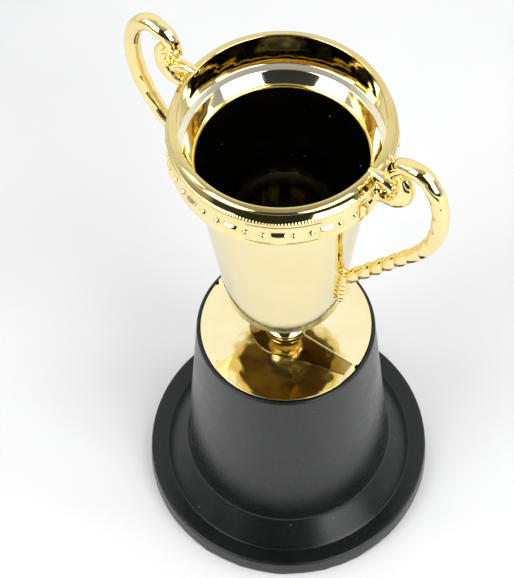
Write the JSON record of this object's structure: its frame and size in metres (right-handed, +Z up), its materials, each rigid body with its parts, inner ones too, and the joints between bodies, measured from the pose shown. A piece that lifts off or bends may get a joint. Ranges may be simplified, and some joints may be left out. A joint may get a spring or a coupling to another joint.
{
  "type": "cup trophy",
  "caption": "Small two-handled cup trophy: a tapered gold cup with an embossed collar and rope handles, on a slim stem and a flared round black base.",
  "frame": {"origin": "centre of the underside of the base, on the surface it stands on", "axes": "+Z up along the cup's axis, X through the two handles, -Y towards the front of the cup"},
  "size_m": [0.071, 0.065, 0.1405],
  "materials": {
    "black_plastic": "semi-gloss moulded plastic with fine scratches and dust",
    "pad_sheet": "thin cut sheet with a rough edge",
    "gold_metallised": "vacuum-metallised plastic with a gold lacquer, mirror bright, silvery at the bowl's mouth and bare black inside the bowl",
    "zinc_steel": "zinc-plated screw and washer"
  },
  "bodies": {
    "root": {"base_shell": "black_plastic", "base_pad": "pad_sheet", "retaining_screw": "zinc_steel", "screw_washer": "zinc_steel", "foot_plate_front": "gold_metallised", "foot_plate_rear": "gold_metallised", "stem": "gold_metallised", "bowl": "gold_metallised", "rim_collar": "gold_metallised", "handle_left": "gold_metallised", "handle_right": "gold_metallised"}
  },
  "joints": []
}
